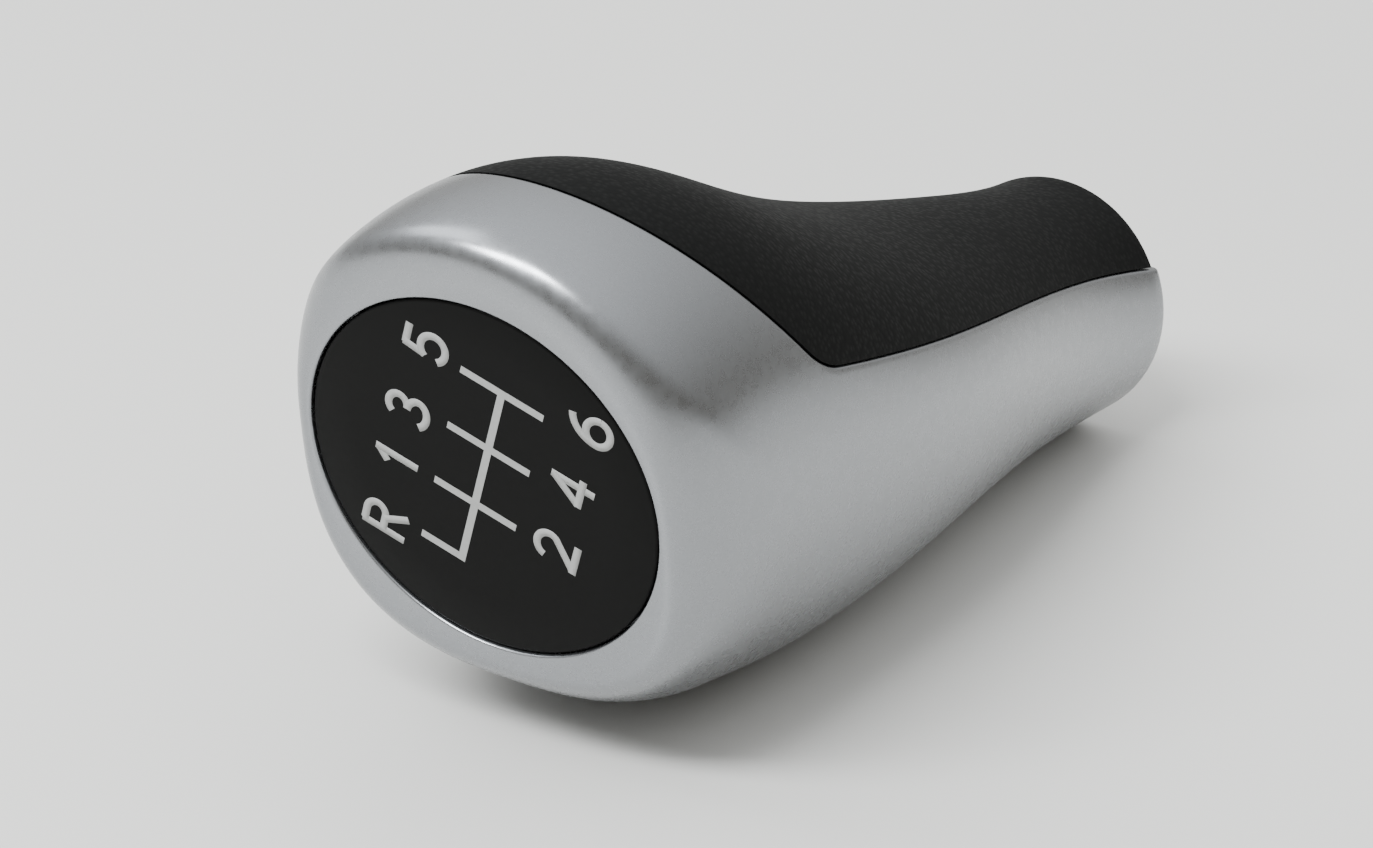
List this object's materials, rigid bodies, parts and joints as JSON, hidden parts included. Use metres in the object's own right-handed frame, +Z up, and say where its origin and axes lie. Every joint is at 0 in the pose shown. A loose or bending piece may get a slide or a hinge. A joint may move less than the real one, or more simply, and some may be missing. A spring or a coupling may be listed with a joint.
{
  "type": "gear shift knob",
  "caption": "Push-on gear knob on its side: satin silver shell, grained black grip pad along the top, black shift-pattern disc in the face and a clipped sleeve with a round bore for the lever.",
  "frame": {"origin": "middle of the knob's box at the table that it lies on", "axes": "+X from the patterned face to the collar, +Y across the knob, +Z up from the table, XZ is the plane of symmetry"},
  "size_m": [0.096, 0.0392, 0.0472],
  "materials": {
    "silver_paint": "satin silver paint on moulded plastic",
    "grained_pad": "fine grained soft-touch skin",
    "black_disc": "satin black with light grey print",
    "nylon_sleeve": "matt moulded",
    "spring_wire": "bright drawn wire"
  },
  "bodies": {
    "root": {"body_shell": "silver_paint", "grip_pad": "grained_pad", "pattern_disc": "black_disc", "lever_socket": "nylon_sleeve", "retaining_clip": "spring_wire"}
  },
  "joints": []
}
